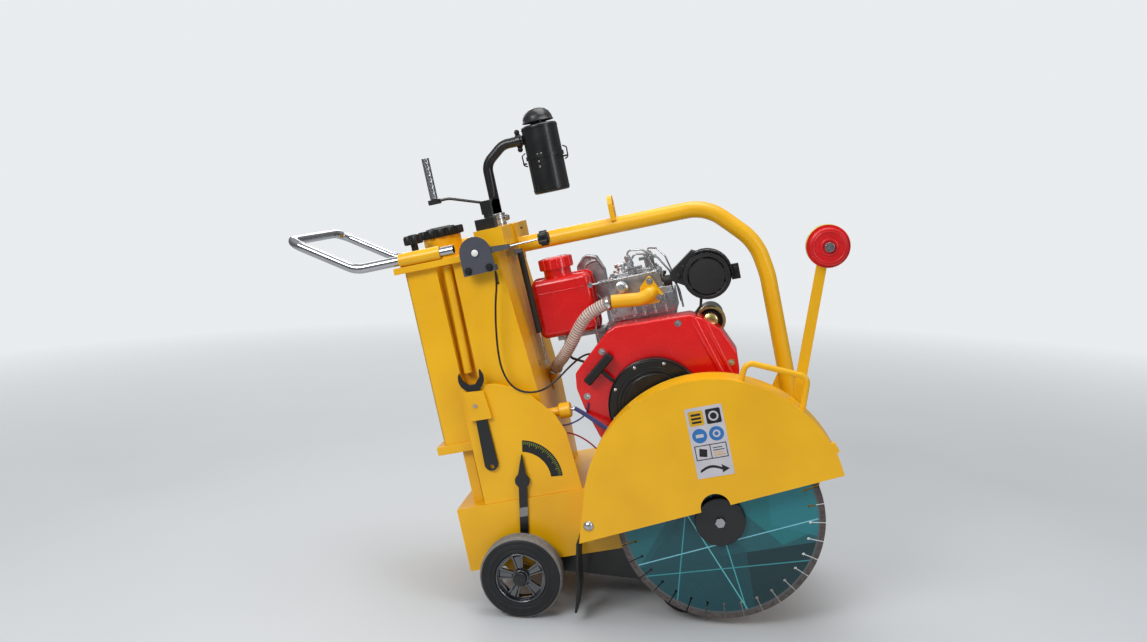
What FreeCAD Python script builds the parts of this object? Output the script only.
import FreeCAD, Part
import math
import os

# Walk-behind concrete saw, in millimetres.
# Every piece is drawn in the chassis frame: u forward along the base, y to the machine's left,
# v up from the base, with the rear axle at (0, 0). place() then tips it nose up to its
# transport stance and sets it on the ground.

V = FreeCAD.Vector

# Stance
tilt_deg = 12.0
clearance = 0.5            # between pieces that move past each other
running = 0.05             # radial, shafts in bores

# Base channel, open below
base_rear = -143.0
base_front = 770.0
base_half_width = 200.0
base_top = 180.0
base_bottom = 14.0
base_plate = 6.0

# Rear wheels and axle
rear_wheel_radius = 105.0
rear_wheel_width = 50.0
rear_wheel_y = base_half_width + 45.0
rim_radius = 64.0
rear_axle_radius = 12.5

# Front wheels on the lift arm
front_wheel_radius = 75.0
front_wheel_width = 40.0
front_wheel_y = base_half_width - 39.0
front_axle_radius = 10.0
front_axle_u = 396.0
lift_plate_y = base_half_width - 66.0
lift_plate = 6.0
lift_swing_deg = 23.7

# Lifting screw inside the column
screw_u = 82.0
screw_y = -110.0
screw_radius = 9.0
screw_lead = 10.0
nut_pin_radius = 8.0

# Blade and its shaft
blade_radius = 250.0
blade_core_radius = blade_radius - 12.0
blade_core = 3.0
segment_width = 4.4
segment_count = 33
slot_width = 3.0
slot_root_radius = blade_radius - 36.0
blade_y = -base_half_width - 45.0
shaft_u = 513.0
shaft_v = 62.0
shaft_radius = 15.0
flange_radius = 61.0
flange = 15.0

# Blade guard
guard_u = 508.0
guard_v = 106.0
guard_radius = 314.0
guard_sheet = 3.0
guard_face_y = -base_half_width - 90.0
guard_inner_y = -base_half_width - 4.0
guard_left_deg = 162.0
guard_right_deg = 13.0
guard_chord_rear = (169.0, 73.0)
guard_chord_front = (819.0, 136.0)
guard_pivot_u = 201.0
guard_pivot_v = 113.0
guard_pin_radius = 8.0
guard_swing_deg = 70.0

# Column and water tank
column_rear = -20.0
column_front_top = 96.0
column_front = 127.0
column_half_width = base_half_width - 30.0
column_top = 812.0
column_box_rear = 49.0
column_box_front = 122.0
column_box_top = 862.0
sheet = 3.0
tank_rear = -148.0
tank_front = -22.0
tank_bottom = 343.0
neck_u = -78.0
neck_radius = 50.0
neck_top = 866.0

# Handlebar
handle_radius = 12.5
handle_y = base_half_width - 25.0
handle_v = 830.0
handle_reach = 425.0
handle_rise = 106.0
sleeve_wall = 4.5
sleeve_rear = -150.0
sleeve_front = -42.0
handle_travel = 80.0

# Roll bar
bar_radius = 21.0
bar_wall = 3.0
bar_v = 803.0
bar_front = 740.0

# Engine
crank_u = 408.0
crank_v = 352.0
crank_radius = 14.0
engine_rear = 262.0
engine_front = 560.0
engine_near = -56.0
engine_far = 130.0
engine_deck = 430.0
head_deck = 562.0
recoil_radius = 119.0
recoil_far = -145.0
recoil_near = -172.0
pull_travel = 180.0

# Belt drive on the far side
belt_y = (base_half_width + 32.0, base_half_width + 44.0, base_half_width + 56.0)
belt_width = 10.0
belt_depth = 8.6
groove_depth = 10.0
engine_pulley_radius = 50.0
shaft_pulley_radius = 60.0
pulley_near = base_half_width + 25.0
pulley_far = base_half_width + 63.0

# Guide arm
guide_u = 712.0
guide_v = 214.0
guide_wheel_u = 878.0
guide_wheel_v = 665.0
guide_bar_y = -base_half_width + 10.5
guide_wheel_radius = 50.0
guide_face_y = -base_half_width - 74.0
guide_swing_deg = 88.0

# Depth gauge
gauge_u = 43.0
gauge_v = 228.0
plate_front_y = -base_half_width + 4.0
pointer_y = -base_half_width - 6.0
pointer_swing_deg = 78.0

# Throttle
throttle_u = 51.0
throttle_v = 812.0
throttle_y = -base_half_width - 5.0

half_rail = column_half_width + 18.0
sleeve_bottom = handle_v - handle_radius - sleeve_wall
lug_hole = 11.0

# Crank on top of the lead screw
hub_base = 890.0
hub_top = 933.0
grip_u = -46.0
grip_base = 962.0
grip_top = 1068.0

# Spanner and its pocket
holder_near = -base_half_width - 7.0
spanner_near = -base_half_width - 4.0
spanner_far = -base_half_width + 3.0

# Arbor notch in the guard's face
notch_u = 511.0
notch_v = 107.0
notch_radius = 36.0

# Fuel tank
tank_seat = 548.0
fuel_cap_u = 206.0
fuel_cap_y = 8.0

# The starter rope leaves the cover towards the operator
pull_direction = (-0.63, 0.0, 0.7766)
pull_seat = (316.0, -159.0, 428.0)

# Air pipe, air cleaner and the duct from the column to the engine
intake_route = [(68, 68, column_box_top), (68, 68, 1030), (122, 68, 1071), (180, 68, 1071)]
cleaner_u = 228.0
cleaner_y = 68.0
hose_diameter = 32.0
hose_route = [(146, 14, 458), (158, -8, 474), (182, -44, 493), (218, -72, 531),
              (250, -88, 574), (288, -100, 607), (341, -108, 620)]

# Throttle cable, water hose and the two wires
near_side = -base_half_width
cable_route = [(90, near_side, 760), (88, near_side, 730), (74, near_side - 1, 685),
               (62, near_side - 1.5, 628), (53, near_side - 1.5, 565), (52, near_side - 1.5, 515),
               (66, near_side - 1.5, 470), (100, near_side - 1.5, 446), (144, near_side + 2, 444),
               (180, -168, 461), (212, -112, 482), (240, -56, 493), (268, -38, 487),
               (286, -36, 464), (286, -36, engine_deck)]
water_route = [(204, -150, 376), (228, -160, 359), (252, -176, 340), (276, -186, 321),
               (302, near_side + 9.5, 303), (330, near_side + 8.5, 291), (346, near_side + 8, 286)]
red_route = [(column_front, -148, 314), (150, -150, 322), (176, -150, 317), (201, -150, 303),
             (224, -150, 281), (240, -149, 258), (254, -140, 240), (270, -120, 236),
             (270, -84, 236)]
blue_route = [(column_front, -148, 352), (150, -150, 340), (176, -150, 337), (202, -150, 343),
              (222, -150, 352), (236, -149, 366), (240, -149, 384)]


def rad(degrees):
    return math.radians(degrees)


def polar(u, v, radius, degrees):
    return (u + radius * math.cos(rad(degrees)), v + radius * math.sin(rad(degrees)))


def box(u0, u1, y0, y1, v0, v1):
    return Part.makeBox(u1 - u0, y1 - y0, v1 - v0, V(u0, y0, v0))


def rod(start, direction, radius, length):
    return Part.makeCylinder(radius, length, V(*start), V(*direction))


def tube(start, direction, outer, inner, length):
    return rod(start, direction, outer, length).cut(rod(start, direction, inner, length))


def y_rod(u, v, radius, y0, y1):
    return rod((u, y0, v), (0, 1, 0), radius, y1 - y0)


def y_ring(u, v, outer, inner, y0, y1):
    return y_rod(u, v, outer, y0, y1).cut(y_rod(u, v, inner, y0, y1))


def v_rod(u, y, radius, v0, v1):
    return rod((u, y, v0), (0, 0, 1), radius, v1 - v0)


def v_ring(u, y, outer, inner, v0, v1):
    return v_rod(u, y, outer, v0, v1).cut(v_rod(u, y, inner, v0, v1))


def v_cone(u, y, low_radius, high_radius, v0, v1):
    return Part.makeCone(low_radius, high_radius, v1 - v0, V(u, y, v0), V(0, 0, 1))


def y_hex(u, v, across, y0, y1):
    points = [polar(u, v, across / math.sqrt(3.0), 60.0 * i) for i in range(6)]
    return slab(points, y0, y1)


def slab(points, y0, y1):
    """A flat plate with the outline (u, v), from y0 to y1."""
    corners = [V(u, y0, v) for u, v in points]
    face = Part.Face(Part.makePolygon(corners + corners[:1]))
    return face.extrude(V(0, y1 - y0, 0))


def mirrored(shape):
    return shape.mirror(V(0, 0, 0), V(0, 1, 0))


def pair(shape):
    return [shape, mirrored(shape)]


def together(shapes):
    return Part.makeCompound(shapes)


def joined(shapes):
    return shapes[0].fuse(shapes[1:]).removeSplitter()


def corner(before, point, after, radius):
    """The arc that rounds one corner of a route, as its start, middle and end."""
    d1 = (point - before).normalize()
    d2 = (after - point).normalize()
    turn = d1.getAngle(d2)
    reach = radius * math.tan(turn / 2.0)
    inward = (d2 - d1).normalize()
    centre = point + inward * (radius / math.cos(turn / 2.0))
    return (point - d1 * reach, centre - inward * radius, point + d2 * reach)


def largest_radius(before, point, after):
    """0.45 of the shorter run, over the tangent of half the turn."""
    turn = (point - before).getAngle(after - point)
    shorter = min((point - before).Length, (after - point).Length)
    return 0.45 * shorter / math.tan(turn / 2.0)


def route(points, radii=None):
    """Straight runs joined by tangent arcs; without radii, as large as the runs allow."""
    points = [V(*p) for p in points]
    if radii is None:
        radii = [largest_radius(*points[i - 1:i + 2]) for i in range(1, len(points) - 1)]
    edges = []
    at = points[0]
    for i, radius in enumerate(radii, start=1):
        start, middle, end = corner(points[i - 1], points[i], points[i + 1], radius)
        edges.append(Part.LineSegment(at, start).toShape())
        edges.append(Part.Arc(start, middle, end).toShape())
        at = end
    edges.append(Part.LineSegment(at, points[-1]).toShape())
    return Part.Wire(edges), radii


def swept(points, radius, radii=None):
    path, _ = route(points, radii)
    first = V(*points[0])
    along = V(*points[1]) - first
    profile = Part.Wire(Part.makeCircle(radius, first, along))
    return Part.Wire(path).makePipeShell([profile], True, False)


def pipe(points, radius, wall, radii):
    return swept(points, radius, radii).cut(swept(points, radius - wall, radii))


def cord(name, points, diameter):
    """A hose, cable or wire: one solid tube along its route."""
    solid = swept(points, diameter / 2.0)
    path, radii = route(points)
    print(name, "length %.0f" % path.Length, "volume ratio %.3f"
          % (solid.Volume / (path.Length * math.pi * diameter ** 2 / 4.0)),
          "radii in diameters", ["%.1f" % (r / diameter) for r in radii])
    return solid


def rounded_slab(points, radii, y0, y1):
    """A plate whose outline (u, v) has round corners."""
    count = len(points)
    if not isinstance(radii, (list, tuple)):
        radii = [radii] * count
    corners = [V(u, y0, v) for u, v in points]
    arcs = [corner(corners[i - 1], corners[i], corners[(i + 1) % count], radii[i])
            for i in range(count)]
    edges = []
    for i, (start, middle, end) in enumerate(arcs):
        edges.append(Part.Arc(start, middle, end).toShape())
        edges.append(Part.LineSegment(end, arcs[(i + 1) % count][0]).toShape())
    return Part.Face(Part.Wire(edges)).extrude(V(0, y1 - y0, 0))


def hull_slab(u0, v0, r0, u1, v1, r1, y0, y1):
    """A plate wrapped round two circles, as an open belt would be."""
    along = math.degrees(math.atan2(v1 - v0, u1 - u0))
    distance = math.hypot(u1 - u0, v1 - v0)
    lean = math.degrees(math.acos((r0 - r1) / distance))
    a0, a1 = polar(u0, v0, r0, along + lean), polar(u1, v1, r1, along + lean)
    b0, b1 = polar(u0, v0, r0, along - lean), polar(u1, v1, r1, along - lean)
    web = slab([a0, a1, b1, b0], y0, y1)
    return joined([web, y_rod(u0, v0, r0, y0, y1), y_rod(u1, v1, r1, y0, y1)])


def line_on_circle(p, d, u, v, radius):
    """Where the line from p along d leaves the circle, the crossing nearer to p."""
    fu, fv = p[0] - u, p[1] - v
    b = fu * d[0] + fv * d[1]
    c = fu * fu + fv * fv - radius * radius
    t = -b - math.sqrt(b * b - c)
    return (p[0] + d[0] * t, p[1] + d[1] * t)


# Where the front axle sits so that both wheels touch the ground in the transport stance
front_axle_v = ((front_wheel_radius - rear_wheel_radius) / math.cos(rad(tilt_deg))
                - front_axle_u * math.tan(rad(tilt_deg)))
# The nut's pin crosses level with the rear axle halfway through the swing
nut_low = -screw_u * math.tan(rad(lift_swing_deg / 2.0))
nut_travel = -2.0 * nut_low


# ---- Frame ----

def base_frame():
    outer = box(base_rear, base_front, -base_half_width, base_half_width, base_bottom, base_top)
    inside = box(base_rear + base_plate, base_front - base_plate, -base_half_width + base_plate,
                 base_half_width - base_plate, base_bottom - 1, base_top - base_plate)
    shell = outer.cut(inside)
    nose_cut = slab([(base_front - 36, base_bottom - 1), (base_front + 1, base_bottom - 1),
                     (base_front + 1, 122)], -base_half_width - 1, base_half_width + 1)
    lug = slab([(-52, base_bottom + 4), (-26, -24), (26, -24), (52, base_bottom + 4)],
               -base_half_width, -base_half_width + base_plate)
    shell = joined([shell.cut(nose_cut)] + pair(lug))
    holes = [y_rod(0, 0, rear_axle_radius, -base_half_width - 1, base_half_width + 1),
             y_rod(shaft_u, shaft_v, shaft_radius + 5, -base_half_width - 1, base_half_width + 1),
             v_rod(screw_u, screw_y, screw_radius + 6, base_top - base_plate - 1, base_top + 1)]
    return shell.cut(holes)


def depth_plate():
    outline = [(-68, base_top), (-68, 484), (22, 484), (66, 466), (104, 442), (134, 408),
               (160, 376), (178, 330), (188, base_top)]
    plate = rounded_slab(outline, [1, 6, 40, 60, 60, 60, 60, 60, 1], plate_front_y,
                         plate_front_y + base_plate)
    return plate.cut(y_rod(gauge_u, gauge_v, 6, plate_front_y - 1, plate_front_y + 7))


def column_outline(inset):
    return [(column_rear + inset, base_top + inset), (column_rear + inset, column_top - inset),
            (column_front_top - inset, column_top - inset), (column_front - inset, 400),
            (column_front - inset, base_top + inset)]


def column_housing():
    half = column_half_width
    body = slab(column_outline(0), -half, half)
    body = body.cut(slab(column_outline(sheet), -half + sheet, half - sheet))
    cap = box(column_box_rear, column_box_front, -half, half, column_top, column_box_top)
    cap = cap.cut(box(column_box_rear + sheet, column_box_front - sheet, -half + sheet,
                      half - sheet, column_top - 1, column_box_top - sheet))
    slot = box(column_box_rear + 3 * sheet, column_front_top - 3 * sheet, -half + 3 * sheet,
               half - 3 * sheet, column_top - sheet - 1, column_top + 1)
    shell = joined([body.cut(slot), cap])
    screw_way = v_rod(screw_u, screw_y, screw_radius + 6, base_top - 1, column_box_top + 1)
    air_way = v_rod(intake_route[0][0], intake_route[0][1], 11, column_box_top - 5,
                    column_box_top + 1)
    centre, way = hose_port()
    port = rod(tuple(centre - way * 20), tuple(way), 11, 21)
    return shell.cut([screw_way, air_way, port])


def water_tank():
    half = column_half_width
    body = box(tank_rear, tank_front, -half, half, tank_bottom, column_top - 4)
    edges = [e for e in body.Edges if abs(e.Length - (column_top - 4 - tank_bottom)) < 0.1
             and e.CenterOfMass.x < tank_rear + 1]
    body = body.makeFillet(12, edges)
    groove = box(tank_front - 42, tank_front + 1, -half - 1, -half + 30, tank_bottom - 1,
                 column_top)
    inside = box(tank_rear + sheet, tank_front - sheet, -half + sheet, half - sheet,
                 tank_bottom + sheet, column_top - 4 - sheet)
    inside = inside.cut(box(tank_front - 42 - sheet, tank_front, -half, -half + 30 + sheet,
                            tank_bottom, column_top))
    neck = v_rod(neck_u, 0, neck_radius, column_top - 4, neck_top)
    bore = v_rod(neck_u, 0, neck_radius - sheet, column_top - 4 - 2 * sheet, neck_top + 1)
    return joined([body.cut(groove), neck]).cut([inside, bore])


def tank_stand():
    """The cradle under the tank, its two legs, and the level pipe in the tank's groove."""
    half = column_half_width
    tray = box(tank_rear - 18, tank_front - 2, -half - 6, half + 6, tank_bottom - 22, tank_bottom)
    tray = tray.cut(box(tank_rear - 14, tank_front - 1, -half - 2, half + 2, tank_bottom - 23,
                        tank_bottom - 4))
    leg = box(-106, -80, -158, -132, base_top, tank_bottom - 4)
    hollow = box(-102, -84, -154, -136, base_top, tank_bottom - 4)
    pipe_top = (tank_front - 17, -half + 14, column_top - 20)
    pipe_foot = (tank_front - 23, -half + 14, 517)
    way = V(*pipe_foot) - V(*pipe_top)
    level_pipe = tube(pipe_top, tuple(way), 11, 8, way.Length)
    return together([tray] + pair(leg.cut(hollow)) + [level_pipe])


def handle_sleeves():
    rail = box(tank_rear - 20, column_box_rear - 9, -half_rail, -column_half_width, column_top - 15,
               sleeve_bottom)
    sleeve = tube((sleeve_rear, -handle_y, handle_v), (1, 0, 0), handle_radius + sleeve_wall,
                  handle_radius + running, sleeve_front - sleeve_rear)
    return together(pair(rail) + pair(sleeve))


def roll_bar():
    start = (column_box_front, 0, bar_v)
    corners = [start, (620, 0, bar_v), (726, 0, 690), (bar_front, 0, 600), (bar_front, 0, base_top)]
    bar = pipe(corners, bar_radius, bar_wall, [120, 150, 200])
    collar = box(column_box_front, column_box_front + 6, -34, 34, column_top - 46, column_box_top)
    collar = collar.cut(rod((column_box_front - 1, 0, bar_v), (1, 0, 0), bar_radius - 1, 8))
    gusset = slab([(bar_front - bar_radius, 344), (bar_front - 46, 306), (bar_front - 46, base_top),
                   (bar_front - bar_radius, base_top)], -4, 4)
    brace = slab([(bar_front - 46, 306), (bar_front - 46, base_top), (bar_front - 54, base_top),
                  (bar_front - 54, 298)], -24, 24)
    lug = box(375, 387, -25, 25, bar_v + bar_radius - 8, bar_v + 55)
    lug = lug.fuse(rod((375, 0, bar_v + 53), (1, 0, 0), 25, 12))
    lug = lug.cut([rod((374, 0, bar_v + 56), (1, 0, 0), lug_hole, 14),
                   rod((374, 0, bar_v), (1, 0, 0), bar_radius - 1, 14)])
    return joined([bar, gusset, brace, lug, collar])


def rear_axle():
    reach = rear_wheel_y + rear_wheel_width / 2.0
    bar = y_rod(0, 0, rear_axle_radius, -reach - 8, reach + 8)
    collar = y_ring(0, 0, 20, rear_axle_radius, base_half_width, reach - rear_wheel_width - 1)
    keeper = y_ring(0, 0, 17, rear_axle_radius, reach + 0.5, reach + 5)
    return together([bar] + pair(collar) + pair(keeper))


def frame_bolts():
    """The guard's pivot bolt, the roll bar's foot bolt, and bolts on the throttle and holder."""
    head = Part.makeSphere(15, V(guard_pivot_u, guard_face_y + 7, guard_pivot_v))
    head = head.common(box(guard_pivot_u - 20, guard_pivot_u + 20, guard_face_y - 20,
                           guard_face_y - clearance, guard_pivot_v - 20, guard_pivot_v + 20))
    pin = y_rod(guard_pivot_u, guard_pivot_v, guard_pin_radius, guard_face_y - clearance,
                -base_half_width)
    foot = rod((bar_front - 54, -14, 262), (-1, 0, 0), 6, 7)
    plate_bolts = [y_hex(u, throttle_v - 41, 9, throttle_y - 4, throttle_y)
                   for u in (throttle_u - 26, throttle_u + 28)]
    holder = y_rod(-33, 438, 5, holder_near - 3, holder_near)
    return together([joined([head, pin]), foot, holder] + plate_bolts)


def spanner_holder():
    """A folded pocket on the depth plate's edge, open at its top and bottom."""
    outline = [(-55, 401), (-55, 477), (-5, 473), (2, 400)]
    outer = rounded_slab(outline, 3, holder_near, plate_front_y)
    inside = slab([(-48, 390), (-48, 490), (-8, 490), (-3, 390)], holder_near + 2.4,
                  plate_front_y + 1)
    return outer.cut(inside)


# ---- Lifting gear ----

def lift_side_plate():
    """One cheek of the lift arm, from the rear axle to the front axle."""
    taper = hull_slab(0, 0, 20, front_axle_u, front_axle_v, 18, -lift_plate / 2, lift_plate / 2)
    crown = slab([(0, 0), (-2, 19), (262, -4), (front_axle_u + 6, front_axle_v + 17),
                  (front_axle_u, front_axle_v)], -lift_plate / 2, lift_plate / 2)
    return joined([taper, crown])


def lift_arm():
    plates = []
    for y in (-lift_plate_y, lift_plate_y):
        plate = lift_side_plate()
        plate.translate(V(0, y, 0))
        plates.append(plate)
    inner = lift_plate_y - lift_plate / 2.0
    web = slab([(128, -42), (128, -36), (350, -100), (350, -106)], -inner, inner)
    boss = joined([y_rod(0, 0, 20, -inner - 10, -inner), y_rod(0, 0, 20, inner, inner + 10)])
    lug_y = screw_y + 22
    horn = hull_slab(screw_u, nut_low, 18, 150, -46, 14, lug_y - 3, lug_y + 3)
    arm = plates[0].fuse([plates[1], web, boss, horn])
    slot_angle = lift_swing_deg / 2.0
    near, far = screw_u - 1.0, screw_u / math.cos(rad(slot_angle)) + 1.0
    low = polar(0, 0, near, -slot_angle)
    high = polar(0, 0, far, -slot_angle)
    slot = hull_slab(low[0], low[1], nut_pin_radius + clearance, high[0], high[1],
                     nut_pin_radius + clearance - 0.01, -lift_plate_y - 4, lug_y + 4)
    axle_hole = y_rod(0, 0, rear_axle_radius + running, -inner - 20, inner + 20)
    arm = arm.cut([slot, axle_hole]).removeSplitter()
    reach = front_wheel_y + front_wheel_width / 2.0
    axle = y_rod(front_axle_u, front_axle_v, front_axle_radius, -reach - 6, reach + 6)
    hub = y_rod(front_axle_u, front_axle_v, 15, -inner + 0, inner)
    return joined([arm, axle, hub])


def front_wheel():
    low, high = front_wheel_y - front_wheel_width / 2.0, front_wheel_y + front_wheel_width / 2.0
    wheel = y_rod(front_axle_u, front_axle_v, front_wheel_radius, low, high)
    wheel = wheel.makeFillet(6, [e for e in wheel.Edges if e.Length > 6 * front_wheel_radius])
    dish = y_ring(front_axle_u, front_axle_v, 46, 20, high - 8, high + 1)
    bore = y_rod(front_axle_u, front_axle_v, front_axle_radius + running, low - 1, high + 1)
    return wheel.cut([dish, bore])


def lift_nut():
    half = 16.0
    body = box(screw_u - half, screw_u + half, screw_y - half, screw_y + half, nut_low - half,
               nut_low + half)
    pin_reach = lift_plate_y + lift_plate / 2.0 + screw_y + 3
    pins = y_rod(screw_u, nut_low, nut_pin_radius, screw_y - pin_reach, screw_y + pin_reach)
    bore = v_rod(screw_u, screw_y, screw_radius + running, nut_low - half - 1, nut_low + half + 1)
    return joined([body, pins]).cut(bore)


def lift_screw():
    """The threaded rod, its hub above the column, and the crank arm."""
    tip = nut_low - 26
    shaft = v_rod(screw_u, screw_y, screw_radius, tip, hub_base)
    hub = v_rod(screw_u, screw_y, 11, hub_base, hub_top)
    clevis = box(screw_u - 13, screw_u + 13, screw_y - 9, screw_y + 9, hub_top - 34, hub_top)
    start = (screw_u, screw_y, hub_top - 6)
    end = (grip_u, screw_y, grip_base - 6)
    arm = swept([start, (grip_u + 36, screw_y, grip_base - 4), end], 3.6, [60])
    pad = box(grip_u - 14, grip_u + 14, screw_y - 12, screw_y + 12, grip_base - 12, grip_base)
    post = v_rod(grip_u, screw_y, 5, grip_base, grip_top - 6)
    return joined([shaft, hub, clevis, arm, pad, post])


def crank_grip():
    grip = v_rod(grip_u, screw_y, 9.5, grip_base + clearance, grip_top)
    return grip.cut(v_rod(grip_u, screw_y, 5 + running, grip_base, grip_top - 6 + clearance))


def screw_bearing():
    """The thrust bearing block on top of the column, and the tank's vent knob."""
    block = box(screw_u - 34, screw_u + 16, screw_y - 18, screw_y + 18, column_box_top,
                hub_base - clearance)
    block = block.cut(v_rod(screw_u, screw_y, screw_radius + running, column_box_top - 1, hub_base))
    stem = v_rod(-128, -96, 9, column_top - 4, 862)
    knob = v_rod(-128, -96, 21, 862, 886)
    return together([block, joined([stem, knob])])


# ---- Wheels ----

def rear_tyre(side):
    low, high = rear_wheel_y - rear_wheel_width / 2.0, rear_wheel_y + rear_wheel_width / 2.0
    tyre = y_rod(0, 0, rear_wheel_radius, low, high)
    tyre = tyre.makeFillet(9, [e for e in tyre.Edges if e.Length > 6 * rear_wheel_radius])
    tyre = tyre.cut(y_rod(0, 0, rim_radius, low - 1, high + 1))
    return tyre if side > 0 else mirrored(tyre)


def rear_rim(side):
    low, high = rear_wheel_y - rear_wheel_width / 2.0, rear_wheel_y + rear_wheel_width / 2.0
    hoop = y_ring(0, 0, rim_radius, rim_radius - 5, low + 4, high - 4)
    web = y_rod(0, 0, rim_radius - 5, high - 22, high - 14)
    windows = []
    for i in range(5):
        middle = 90.0 + 36.0 + 72.0 * i
        inner = [polar(0, 0, 24, middle + a) for a in (-14, 14)]
        outer = [polar(0, 0, 56, middle + a) for a in (21, -21)]
        windows.append(rounded_slab(inner + outer, 3, high - 30, high))
    hub = y_rod(0, 0, 21, low + 2, high - 4)
    rim = joined([hoop, web.cut(windows), hub])
    rim = rim.cut(y_rod(0, 0, rear_axle_radius + running, low - 1, high + 1))
    return rim if side > 0 else mirrored(rim)


# ---- Blade ----

def blade_core_disc():
    low, high = blade_y - blade_core / 2.0, blade_y + blade_core / 2.0
    disc = y_ring(shaft_u, shaft_v, blade_core_radius, shaft_radius, low, high)
    cuts = []
    for i in range(segment_count):
        angle = 360.0 / segment_count * i
        along = V(math.cos(rad(angle)), 0, math.sin(rad(angle)))
        slot = Part.makeBox(blade_radius - slot_root_radius, blade_core + 2, slot_width,
                            V(slot_root_radius, low - 1, -slot_width / 2.0))
        slot.rotate(V(0, 0, 0), V(0, -1, 0), angle)
        slot.translate(V(shaft_u, 0, shaft_v))
        root = V(shaft_u, 0, shaft_v) + along * slot_root_radius
        cuts.append(slot)
        cuts.append(y_rod(root.x, root.z, 3.6, low - 1, high + 1))
    return disc.cut(cuts)


def blade_segments():
    low, high = blade_y - segment_width / 2.0, blade_y + segment_width / 2.0
    ring = y_ring(shaft_u, shaft_v, blade_radius, blade_core_radius, low, high)
    pitch = 360.0 / segment_count
    half_gap = math.degrees(slot_width / 2.0 / blade_core_radius)
    pieces = []
    for i in range(segment_count):
        start, end = pitch * i + half_gap, pitch * (i + 1) - half_gap
        corners = [(shaft_u, shaft_v), polar(shaft_u, shaft_v, 2 * blade_radius, start),
                   polar(shaft_u, shaft_v, 2 * blade_radius, end)]
        pieces.append(ring.common(slab(corners, low - 1, high + 1)))
    return together(pieces)


def blade_flanges():
    inner_face, outer_face = blade_y + blade_core / 2.0, blade_y - blade_core / 2.0
    inner = y_ring(shaft_u, shaft_v, flange_radius, shaft_radius, inner_face, inner_face + flange)
    outer = y_rod(shaft_u, shaft_v, flange_radius, outer_face - flange, outer_face)
    outer = outer.makeFillet(5, [e for e in outer.Edges
                                 if e.Length > 6 * flange_radius and e.CenterOfMass.y < outer_face - 1])
    bolt = y_hex(shaft_u, shaft_v, 22, outer_face - flange - 9, outer_face - flange)
    return together([inner, outer, bolt])


def pulley(u, v, radius, bore):
    wheel = y_ring(u, v, radius, bore, pulley_near, pulley_far)
    grooves = [y_ring(u, v, radius + 1, radius - groove_depth, y - belt_width / 2.0 - clearance,
                      y + belt_width / 2.0 + clearance) for y in belt_y]
    return wheel.cut(grooves)


def blade_shaft():
    shaft = y_rod(shaft_u, shaft_v, shaft_radius, blade_y - blade_core / 2.0, pulley_far + 2)
    return together([shaft, pulley(shaft_u, shaft_v, shaft_pulley_radius, shaft_radius)])


def shaft_bearings():
    """Flanged bearing housings on the outside of the two skirts."""
    face = base_half_width
    square = [(shaft_u + a, shaft_v + b) for a, b in ((-39, -39), (-39, 39), (39, 39), (39, -39))]
    plate = rounded_slab(square, 12, face, face + 9)
    boss = y_rod(shaft_u, shaft_v, 33, face, face + 20)
    bore = y_rod(shaft_u, shaft_v, shaft_radius + running, face - 1, face + 21)
    return together(pair(joined([plate, boss]).cut(bore)))


def belt_loop(y0, y1):
    inner_gap = clearance - groove_depth
    outer = hull_slab(crank_u, crank_v, engine_pulley_radius + inner_gap + belt_depth,
                      shaft_u, shaft_v, shaft_pulley_radius + inner_gap + belt_depth, y0, y1)
    inner = hull_slab(crank_u, crank_v, engine_pulley_radius + inner_gap,
                      shaft_u, shaft_v, shaft_pulley_radius + inner_gap, y0 - 1, y1 + 1)
    return outer.cut(inner)


def drive_belts():
    return together([belt_loop(y - belt_width / 2.0, y + belt_width / 2.0) for y in belt_y])


def belt_guard():
    margin = 14.0
    low, high = pulley_near - 4, pulley_far + 9
    r0, r1 = engine_pulley_radius + margin, shaft_pulley_radius + margin
    outer = hull_slab(crank_u, crank_v, r0, shaft_u, shaft_v, r1, low, high)
    inner = hull_slab(crank_u, crank_v, r0 - sheet, shaft_u, shaft_v, r1 - sheet, low + sheet,
                      high - sheet)
    holes = [y_rod(crank_u, crank_v, crank_radius + 4, low - 1, low + sheet + 1),
             y_rod(shaft_u, shaft_v, shaft_radius + 4, low - 1, low + sheet + 1)]
    posts = [y_rod(u, v, 8, base_half_width, low) for u, v in ((470, 130), (560, 110))]
    return joined([outer.cut([inner] + holes)] + posts)


# ---- Guard ----

def guard_face(inset, drop):
    """The guard's outline in u and v; drop moves its straight lower edge down."""
    rear_top = polar(guard_u, guard_v, guard_radius, guard_left_deg)
    du, dv = guard_chord_rear[0] - rear_top[0], guard_chord_rear[1] - rear_top[1]
    size = math.hypot(du, dv)
    down = (du / size, dv / size)
    inward = (-down[1], down[0])
    radius = guard_radius - inset
    edge = (guard_chord_rear[0] + inward[0] * inset, guard_chord_rear[1] + inward[1] * inset)
    back = (-down[0], -down[1])
    top = line_on_circle(edge, back, guard_u, guard_v, radius)
    foot = (edge[0] + down[0] * drop, edge[1] + down[1] * drop)
    front = (guard_chord_front[0] - inset, guard_chord_front[1] - drop)
    front_top = polar(guard_u, guard_v, radius, guard_right_deg)
    crown = polar(guard_u, guard_v, radius, 90.0)
    lines = [V(p[0], 0, p[1]) for p in (front_top, front, foot, top)]
    arc = Part.Arc(lines[3], V(crown[0], 0, crown[1]), lines[0]).toShape()
    edges = [Part.LineSegment(lines[i], lines[i + 1]).toShape() for i in range(3)]
    return Part.Face(Part.Wire(edges + [arc]))


def guard_prism(inset, drop, y0, y1):
    face = guard_face(inset, drop)
    face.translate(V(0, y0, 0))
    return face.extrude(V(0, y1 - y0, 0))


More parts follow.
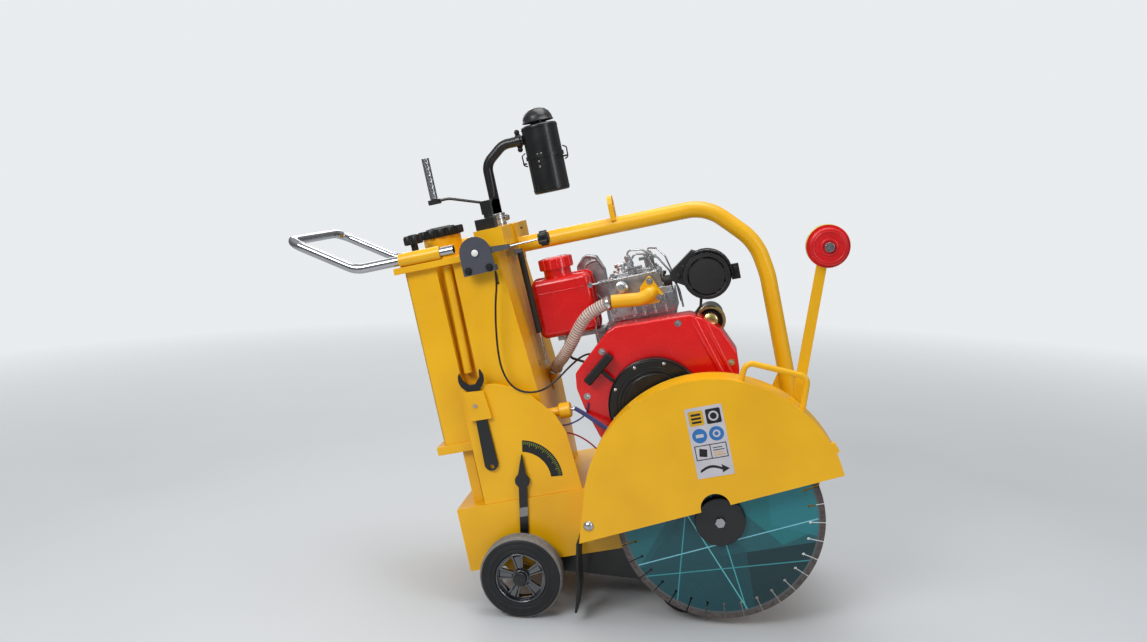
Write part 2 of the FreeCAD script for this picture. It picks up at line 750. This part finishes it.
def guard_inner():
    plate = guard_prism(0, 0, guard_inner_y, -base_half_width)
    plate = plate.cut(y_rod(guard_pivot_u, guard_pivot_v, guard_pin_radius, guard_inner_y - 1,
                            -base_half_width + 1))
    end_u, _, end_v = water_route[-1]
    nozzle = box(end_u + 0.5, end_u + 18, -base_half_width, -base_half_width + 16, end_v - 10,
                 end_v + 10)
    return together([plate, nozzle])


def guard_cover():
    rim_far = guard_inner_y - 4
    shell = guard_prism(0, 0, guard_face_y, rim_far)
    hollow = guard_prism(guard_sheet, 40, guard_face_y + guard_sheet, rim_far + 1)
    notch = y_rod(notch_u, notch_v, notch_radius, guard_face_y - 1, guard_face_y + guard_sheet + 1)
    pivot = y_rod(guard_pivot_u, guard_pivot_v, guard_pin_radius + running, guard_face_y - 1,
                  guard_face_y + guard_sheet + 1)
    handle_y = guard_face_y + 20
    foot0 = polar(guard_u, guard_v, guard_radius - 2, 67.9)
    foot1 = polar(guard_u, guard_v, guard_radius - 2, 38.6)
    corners = [foot0, (645, 438), (779, 377), foot1]
    handle = swept([(u, handle_y, v) for u, v in corners], 7, [20, 20])
    tabs = []
    for angle in (116.0, 18.0):
        spot = polar(guard_u, guard_v, guard_radius + 2, angle)
        tab = box(-12, 12, guard_face_y, guard_face_y + 16, -4, 6)
        tab.rotate(V(0, 0, 0), V(0, 1, 0), 90.0 - angle)
        tab.translate(V(spot[0], 0, spot[1]))
        tabs.append(tab)
    return joined([shell.cut([hollow, notch, pivot]), handle] + tabs)


def splash_flap():
    """A rubber sheet hung from the guard's inner plate, just behind the blade."""
    outline = [(160, 72), (167, 72), (153, 12), (145, -44), (125, -104), (119, -104),
               (138, -44), (146, 12)]
    return slab(outline, guard_face_y + 8, guard_inner_y - 3)


# ---- Engine ----

def crankcase():
    low_block = rounded_slab([(engine_rear, 192), (engine_rear, engine_deck),
                              (engine_front - 60, engine_deck), (engine_front, 360),
                              (engine_front, 192)], 16, engine_near, engine_far)
    barrel = box(322, 486, engine_near, 74, engine_deck, head_deck - 60)
    feet = [box(engine_rear - 6, engine_front + 6, y, y + 34, base_top, 192)
            for y in (engine_near + 4, engine_far - 40)]
    carrier = y_rod(crank_u, crank_v, 58, engine_far, engine_far + 34)
    shelf = box(176, 306, -24, 56, tank_seat - 12, tank_seat)
    leg = box(274, 306, -16, 48, engine_deck, tank_seat - 12)
    bore = y_rod(crank_u, crank_v, crank_radius + running, engine_near - 1, engine_far + 36)
    return joined([low_block, barrel] + feet + [carrier, shelf, leg]).cut(bore)


def cylinder_head():
    fins = []
    for i in range(5):
        low = head_deck - 60 + 12 * i
        fins.append(box(316, 492, engine_near - 2, 80, low + 5, low + 12))
        fins.append(box(326, 482, engine_near + 6, 72, low, low + 5))
    deck = box(322, 500, engine_near - 8, 78, head_deck, 612)
    cover = box(336, 474, engine_near + 10, 66, 612, 672)
    cover = cover.makeFillet(9, [e for e in cover.Edges if e.CenterOfMass.z > 650])
    manifold = rounded_slab([(322, 590), (290, 600), (252, 650), (252, 712), (276, 738),
                             (306, 730), (322, 690)], 6, 66, 106)
    injector = rod((404, -30, 668), (-0.12, 0, 1), 8, 52)
    line = swept([(397, -30, 700), (420, -34, 722), (448, -34, 716), (462, -30, 670)], 3,
                 [12, 12])
    fitting = v_rod(448, 20, 13, 668, 712)
    return together([joined([deck, cover, manifold] + fins), injector, line, fitting])


def speed_rod():
    return rod((292, -66, 668), (1, 0, 0.01), 3, 184)


def fan_shroud():
    outline = [(292, 197), (250, 292), (226, 372), (217, 424), (222, 462), (322, 552),
               (346, 561), (531, 555), (560, 541), (602, 502), (628, 442), (626, 398), (600, 300),
               (566, 197)]
    radii = [8, 40, 40, 20, 14, 14, 10, 12, 14, 24, 18, 20, 60, 8]
    outer = rounded_slab(outline, radii, recoil_far, engine_near - 4)
    front_edges = [e for e in outer.Edges if abs(e.CenterOfMass.y - recoil_far) < 0.01]
    outer = outer.makeFillet(5, front_edges)
    middle = (sum(p[0] for p in outline) / len(outline), sum(p[1] for p in outline) / len(outline))
    inset = [(u + (middle[0] - u) * 0.022, v + (middle[1] - v) * 0.022) for u, v in outline]
    inside = rounded_slab(inset, 6, recoil_far + 4, engine_near)
    fan_eye = y_rod(crank_u, crank_v, recoil_radius - 14, recoil_far - 1, recoil_far + 5)
    return outer.cut([inside, fan_eye])


def recoil_cover():
    rim = y_rod(crank_u, crank_v, recoil_radius, recoil_near, recoil_far)
    rim = rim.makeFillet(8, [e for e in rim.Edges if e.Length > 6 * recoil_radius
                             and e.CenterOfMass.y < recoil_near + 1])
    dome = y_rod(crank_u, crank_v, 84, recoil_near - 7, recoil_near)
    cavity = y_rod(crank_u, crank_v, recoil_radius - 6, recoil_near + 5, recoil_far + 1)
    way = V(*pull_direction)
    outside = V(*pull_seat) + way * 20
    mouth = rod(tuple(outside), (-way.x, -way.y, -way.z), 6.5, 80)
    return joined([rim, dome]).cut([cavity, mouth])


def recoil_handle():
    """The T-grip, its stem and the rope, which lies straight inside the cover at rest."""
    way = V(*pull_direction)
    across = V(way.z, 0, -way.x)
    stem_start = V(*pull_seat) + way * 3
    stem = rod(tuple(stem_start), pull_direction, 5, 36)
    rope = rod(tuple(stem_start), (-way.x, 0, -way.z), 2.5, 196)
    grip = Part.makeBox(94, 26, 22, V(-47, -13, -11))
    grip = grip.makeFillet(5, grip.Edges)
    grip.rotate(V(0, 0, 0), V(0, 1, 0), -math.degrees(math.atan2(across.z, across.x)))
    grip.translate(stem_start + way * 46)
    return joined([stem, rope, grip])


def fuel_tank():
    body = box(136, 292, -45, 62, tank_seat, 702)
    body = body.makeFillet(16, [e for e in body.Edges])
    neck = v_rod(fuel_cap_u, fuel_cap_y, 36, 690, 722)
    inside = box(140, 288, -41, 58, tank_seat + 4, 698)
    inside = inside.makeFillet(12, inside.Edges)
    bore = v_rod(fuel_cap_u, fuel_cap_y, 32, 680, 723)
    return joined([body, neck]).cut([inside, bore])


def fuel_cap():
    cap = v_rod(fuel_cap_u, fuel_cap_y, 43, 722 + clearance, 752)
    cap = cap.makeFillet(4, [e for e in cap.Edges if e.CenterOfMass.z > 751])
    plug = v_rod(fuel_cap_u, fuel_cap_y, 31, 712, 722 + clearance)
    return joined([cap, plug])


def muffler():
    drum = y_rod(590, 636, 57, -98, -8)
    drum = drum.makeFillet(7, [e for e in drum.Edges if e.Length > 300])
    drum = drum.cut(y_rod(590, 636, 54, -95, -11))
    band = y_ring(590, 636, 62, 57, -66, -46)
    tab = box(650, 672, -66, -46, 612, 650)
    wing = slab([(500, 640), (500, 660), (562, 704), (590, 690), (550, 610)], -80, -20)
    wing = wing.cut(y_rod(590, 636, 57, -99, 0))
    tab = tab.cut(y_rod(590, 636, 62, -70, -40))
    stub = tube((500, -50, 640), (-1, 0, 0), 14, 10, 20)
    strut = rod((566, -72, 585), (-0.5, 0, -1), 4, 26)
    return together([drum, joined([band, tab]), wing, stub])


def intake_elbow():
    route_points = [(345, -108, 620), (420, -106, 612), (446, -100, 622), (446, -66, 622)]
    arm = swept(route_points, 17, [40, 12])
    skirt = rounded_slab([(414, 592), (420, 640), (448, 666), (474, 612), (462, 594)], 6,
                         -92, engine_near - 8)
    bore = rod((342, -108, 620), (1, 0, -0.06), 13, 40)
    return joined([arm, skirt]).cut(bore)


def starter_motor():
    body = y_rod(577, 520, 33, engine_near + 6, 70)
    nose = y_rod(577, 520, 24, engine_near, engine_near + 6)
    return joined([body, nose])


def crankshaft():
    shaft = y_rod(crank_u, crank_v, crank_radius, -126, pulley_far + 2)
    return together([shaft, pulley(crank_u, crank_v, engine_pulley_radius, crank_radius)])


def flywheel():
    wheel = y_ring(crank_u, crank_v, 100, crank_radius, -112, -84)
    vanes = []
    for i in range(16):
        vane = box(64, 98, -124, -112, -2, 2)
        vane.rotate(V(0, 0, 0), V(0, 1, 0), 22.5 * i)
        vane.translate(V(crank_u, 0, crank_v))
        vanes.append(vane)
    return joined([wheel] + vanes)


# ---- Air path ----

def hose_port():
    """Where the hose's first run, carried back, meets the column's front."""
    end, following = V(*hose_route[0]), V(*hose_route[1])
    way = (following - end).normalize()
    return end - way * ((end.x - column_front) / way.x), way


def intake_pipe():
    stack = pipe(intake_route, 13.5, 2.5, [44, 46])
    foot = v_ring(68, 68, 19, 13.5, column_box_top, column_box_top + 34)
    clamp = tube((160, 68, 1071), (1, 0, 0), 17, 13.5, 14)
    return together([stack, foot, clamp])


def air_cleaner():
    can = v_rod(cleaner_u, cleaner_y, 48, 922, 1103)
    can = can.makeFillet(6, [e for e in can.Edges if e.Length > 250])
    band = v_ring(cleaner_u, cleaner_y, 51, 48, 1014, 1024)
    lugs = [box(cleaner_u - 60, cleaner_u - 50, 60, 76, 1012, 1026),
            box(cleaner_u + 50, cleaner_u + 60, 60, 76, 1012, 1026)]
    throat = v_rod(cleaner_u, cleaner_y, 17, 1103, 1122)
    cap = v_cone(cleaner_u, cleaner_y, 33, 22, 1118, 1140)
    dome = Part.makeSphere(40, V(cleaner_u, cleaner_y, 1107)).common(
        v_rod(cleaner_u, cleaner_y, 22, 1138, 1150))
    mouth = rod((174, cleaner_y, 1071), (1, 0, 0), 13.5, 10)
    body = joined([can, throat, cap, dome]).cut(mouth)
    return together([body, band])


def hose_spigots():
    """The oblique stub on the column that the air hose is clamped to."""
    end = V(*hose_route[0])
    port, way = hose_port()
    start = tuple(port - way * 20)
    stub = tube(start, tuple(way), hose_diameter / 2.0, 11, (end - port).Length + 20)
    plate = box(column_front, column_front + 4, 18, 78, 404, 462)
    plate = plate.cut(rod(start, tuple(way), 11, 60))
    front = box(column_front, 200, -40, 120, 380, 500)
    return joined([stub.common(front), plate])


# ---- Throttle, strut, water and wiring ----

def throttle_housing():
    far = throttle_y + 3
    top = [polar(throttle_u, throttle_v, 40, a) for a in range(0, 181, 15)]
    plate = slab(top + [(11, 759), (94, 761)], throttle_y, far)
    hub = y_rod(throttle_u, throttle_v, 7, throttle_y - 3, -column_half_width)
    spacers = [y_rod(u, throttle_v - 41, 7, far, -column_half_width)
               for u in (throttle_u - 26, throttle_u + 28)]
    clip = box(84, 96, far, far + 14, 761, 775)
    return joined([plate, hub, clip] + spacers)


def throttle_lever():
    low, high = throttle_y + 4, throttle_y + 9
    boss = y_rod(throttle_u, throttle_v, 17, low, high)
    arm = slab([(throttle_u, 802), (throttle_u, 822), (140, 817), (140, 806)], low, high)
    shank = rod((136, (low + high) / 2.0, 811.5), (1, 0, 0.03), 2.5, 80)
    knob_centre = (225.0, (low + high) / 2.0, 813.5)
    knob = rod((knob_centre[0] - 13, knob_centre[1], knob_centre[2]), (1, 0, 0), 13, 26)
    lobes = []
    for i in range(5):
        a = rad(72.0 * i)
        lobes.append(rod((knob_centre[0] - 9, knob_centre[1] + 13 * math.cos(a),
                          knob_centre[2] + 13 * math.sin(a)), (1, 0, 0), 6.5, 18))
    pin_hole = y_rod(throttle_u, throttle_v, 7 + running, low - 1, high + 1)
    return joined([boss, arm, shank, knob] + lobes).cut(pin_hole)


def throttle_cable():
    return cord("throttle cable", cable_route, 5.0)


def water_hose():
    return cord("water hose", water_route, 11.0)


def wiring():
    return together([cord("red wire", red_route, 4.0), cord("blue wire", blue_route, 4.0)])


def air_hose():
    return cord("air hose", hose_route, hose_diameter)


def gas_strut():
    """A damper strut in front of the column, pinned to two brackets."""
    top, foot = V(133, -64, 786), V(140, -64, 497)
    way = (foot - top).normalize()
    body = rod(tuple(top), tuple(way), 8, 214)
    piston = rod(tuple(top + way * 214), tuple(way), 4, 75)
    hangers = [box(column_front_top - 1, 140, -69, -59, 780, 796),
               box(column_front_top + 18, 146, -69, -59, 487, 500)]
    body_of_column = slab(column_outline(0), -column_half_width, column_half_width)
    return joined([body, piston] + [h.cut(body_of_column) for h in hangers])


def water_tap_body():
    """The water valve on the column, with the tail that the hose is pushed on to."""
    body = rod((column_front, -150, 376), (1, 0, 0), 12, 36)
    tail = rod((column_front + 36, -150, 376), (1, 0, 0), 5, 41)
    return joined([body, tail])


def water_tap():
    """The ring that turns the water on, round the valve's tail."""
    start = (column_front + 36 + clearance, -150, 376)
    knob = rod(start, (1, 0, 0), 20, 30)
    knob = knob.makeFillet(4, [e for e in knob.Edges if e.Length > 100])
    return knob.cut(rod(start, (1, 0, 0), 5 + running, 30))


# ---- Hand pieces ----

def handlebar():
    y, v = handle_y, handle_v
    corners = [(-7, -y, v), (-266, -y, v), (-handle_reach, -y, v + handle_rise),
               (-handle_reach, y, v + handle_rise), (-266, y, v), (-7, y, v)]
    return pipe(corners, handle_radius, 2.0, [70, 42, 42, 70])


def tank_cap():
    base = v_rod(neck_u, 0, 56, neck_top + clearance, 888)
    base = base.makeFillet(3, [e for e in base.Edges if e.CenterOfMass.z > 887])
    grooves = [v_rod(*polar(neck_u, 0, 58, 30.0 * i), 5, neck_top, 889) for i in range(12)]
    plug = v_rod(neck_u, 0, neck_radius - sheet - clearance, neck_top - 10, neck_top + clearance)
    return joined([base.cut(grooves), plug])


def spanner():
    """An open-ended spanner that hangs in its pocket by its head."""
    low, high = spanner_near, spanner_far
    head = y_rod(-30, 507, 33, low, high)
    jaw = slab([(-52, 506), (-38, 492), (-22, 492), (-8, 508), (0, 552), (-64, 552)], low - 1,
               high + 1)
    shank = rounded_slab([(-44, 284), (-38, 500), (-15, 500), (-9, 284)], [4, 1, 1, 4], low, high)
    tail = y_rod(-26.5, 284, 17.5, low, high)
    hole = y_rod(-26.5, 277, 6, low - 1, high + 1)
    return joined([head, shank, tail]).cut([jaw, hole])


def depth_pointer():
    low, high = pointer_y, pointer_y + 4.5
    hub = y_rod(gauge_u, gauge_v, 19, low, high)
    needle = slab([(32, 236), (55, 296), (57, 294), (56, 234)], low, high)
    lever = slab([(32, 222), (54, 222), (24, 62), (3, 66)], low, high)
    end = y_rod(13.5, 64, 11, low, high)
    pin = y_rod(gauge_u, gauge_v, 6 - running, high, plate_front_y + 9)
    return joined([hub, needle, lever, end, pin])


def guide_arm():
    """The sighting arm: a flat bar hinged at the base, with the guide wheel's axle at its tip."""
    low, high = guide_bar_y - 4, guide_bar_y + 4
    bar = hull_slab(guide_u, guide_v, 13, guide_wheel_u, guide_wheel_v, 12, low, high)
    axle = y_rod(guide_wheel_u, guide_wheel_v, 7, guide_face_y, low)
    keeper = y_rod(guide_wheel_u, guide_wheel_v, 11, guide_face_y - 8, guide_face_y)
    pin_hole = y_rod(guide_u, guide_v, 7 + running, low - 1, high + 1)
    return joined([bar, axle, keeper]).cut(pin_hole)


def guide_hinge():
    """The lug on the base that carries the guide arm's pin."""
    near, far = guide_bar_y + 4 + clearance, guide_bar_y + 12
    lug = slab([(guide_u - 24, base_top), (guide_u - 13, guide_v + 8), (guide_u + 13, guide_v + 8),
                (guide_u + 24, base_top)], near, far)
    pin = y_rod(guide_u, guide_v, 7, guide_bar_y - 9, near)
    return joined([lug, pin])


def guide_wheel():
    near = y_rod(guide_wheel_u, guide_wheel_v, 43, guide_face_y + 1, guide_face_y + 24)
    far = y_rod(guide_wheel_u, guide_wheel_v, guide_wheel_radius, guide_face_y + 24,
                guide_face_y + 46)
    near = near.makeFillet(4, [e for e in near.Edges if e.Length > 250
                               and e.CenterOfMass.y < guide_face_y + 2])
    bore = y_rod(guide_wheel_u, guide_wheel_v, 7 + running, guide_face_y,
                 guide_face_y + 47)
    return joined([near, far]).cut(bore)


def chassis_column():
    return together([column_housing(), hose_spigots(), water_tap_body()])


def chassis_base():
    return together([base_frame(), guide_hinge()])


def head_group():
    return together([cylinder_head(), speed_rod()])


builders = {
    "base_frame": chassis_base,
    "depth_plate": depth_plate,
    "column_housing": chassis_column,
    "water_tank": water_tank,
    "tank_stand": tank_stand,
    "handle_sleeves": handle_sleeves,
    "roll_bar": roll_bar,
    "guard_inner": guard_inner,
    "splash_flap": splash_flap,
    "spanner_holder": spanner_holder,
    "crankcase": crankcase,
    "cylinder_head": head_group,
    "fan_shroud": fan_shroud,
    "recoil_cover": recoil_cover,
    "fuel_tank": fuel_tank,
    "muffler": muffler,
    "intake_elbow": intake_elbow,
    "starter_motor": starter_motor,
    "air_hose": air_hose,
    "intake_pipe": intake_pipe,
    "air_cleaner": air_cleaner,
    "throttle_housing": throttle_housing,
    "throttle_cable": throttle_cable,
    "water_hose": water_hose,
    "wiring": wiring,
    "gas_strut": gas_strut,
    "shaft_bearings": shaft_bearings,
    "belt_guard": belt_guard,
    "drive_belts": drive_belts,
    "rear_axle": rear_axle,
    "screw_bearing": screw_bearing,
    "frame_bolts": frame_bolts,
    "handlebar": handlebar,
    "lift_screw": lift_screw,
    "crank_grip": crank_grip,
    "lift_nut": lift_nut,
    "lift_arm": lift_arm,
    "front_wheel_left": front_wheel,
    "front_wheel_right": lambda: mirrored(front_wheel()),
    "rear_tyre_left": lambda: rear_tyre(1),
    "rear_rim_left": lambda: rear_rim(1),
    "rear_tyre_right": lambda: rear_tyre(-1),
    "rear_rim_right": lambda: rear_rim(-1),
    "depth_pointer": depth_pointer,
    "guard_cover": guard_cover,
    "blade_core": blade_core_disc,
    "blade_segments": blade_segments,
    "blade_flanges": blade_flanges,
    "blade_shaft": blade_shaft,
    "crankshaft": crankshaft,
    "flywheel": flywheel,
    "throttle_lever": throttle_lever,
    "recoil_handle": recoil_handle,
    "fuel_cap": fuel_cap,
    "tank_cap": tank_cap,
    "guide_arm": guide_arm,
    "guide_wheel": guide_wheel,
    "water_tap": water_tap,
    "spanner": spanner,
}


def tip_back(shape):
    shape.rotate(V(0, 0, 0), V(0, 1, 0), -tilt_deg)
    shape.translate(V(0, 0, rear_wheel_radius))
    return shape


shapes = {name: tip_back(build()) for name, build in builders.items()}
bounds = together(list(shapes.values())).optimalBoundingBox(True, False)
shift = V(-(bounds.XMin + bounds.XMax) / 2.0, -(bounds.YMin + bounds.YMax) / 2.0, 0)


def row_point(u, y, v):
    """A chassis point in the row frame, in metres."""
    c, s = math.cos(rad(tilt_deg)), math.sin(rad(tilt_deg))
    point = V(u * c - v * s, y, rear_wheel_radius + u * s + v * c) + shift
    return [round(x / 1000.0, 6) for x in point]


def row_direction(u, y, v):
    c, s = math.cos(rad(tilt_deg)), math.sin(rad(tilt_deg))
    return [round(x, 6) for x in (u * c - v * s, y, u * s + v * c)]


os.makedirs("parts", exist_ok=True)
for name, shape in shapes.items():
    shape.translate(shift)
    shape.exportStep("parts/%s.step" % name)
print(len(shapes), "parts; size", [round(x) for x in (bounds.XLength, bounds.YLength, bounds.ZLength)],
      "lowest point %.2f" % bounds.ZMin)
